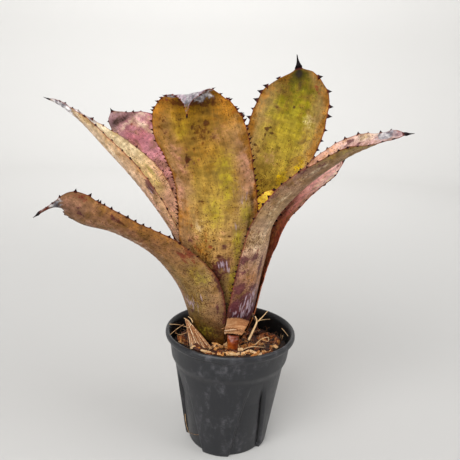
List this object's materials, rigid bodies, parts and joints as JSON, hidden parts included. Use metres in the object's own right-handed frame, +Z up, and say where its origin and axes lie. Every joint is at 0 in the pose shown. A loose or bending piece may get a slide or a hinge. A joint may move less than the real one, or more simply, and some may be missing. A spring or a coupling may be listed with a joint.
{
  "type": "potted bromeliad",
  "caption": "Tank bromeliad with stiff spiny-edged leaves, some upright and some arching outwards, growing in a black plastic nursery pot filled with husk chips.",
  "frame": {"origin": "centre of the pot's flat base, on the surface that the pot stands on", "axes": "+Z up along the pot, -Y towards the picture's camera, +X to the right in the picture"},
  "size_m": [0.267, 0.1207, 0.314],
  "materials": {
    "pot_plastic": "satin, dusty",
    "potting_medium": "rough husk chips and coir fibre",
    "stem": "rough",
    "husk": "dry, fibrous",
    "leaf_green": "leathery leaf, satin, red-brown margins",
    "leaf_brown": "leathery leaf, satin, tan to orange-brown",
    "leaf_tan": "leathery leaf, satin, tan outside and cream inside",
    "leaf_pink": "leathery leaf, satin, pink"
  },
  "bodies": {
    "root": {"pot": "pot_plastic", "potting_medium": "potting_medium", "stem": "stem", "husk_chip_square": "husk", "husk_chip_glossy": "husk", "husk_chip_fibrous": "husk", "leaf_front_low_left": "leaf_brown", "leaf_right": "leaf_brown", "leaf_right_low": "leaf_brown", "leaf_back_left": "leaf_pink", "leaf_front": "leaf_green", "leaf_left": "leaf_tan", "leaf_back_right": "leaf_green", "leaf_heart": "leaf_green"}
  },
  "joints": []
}
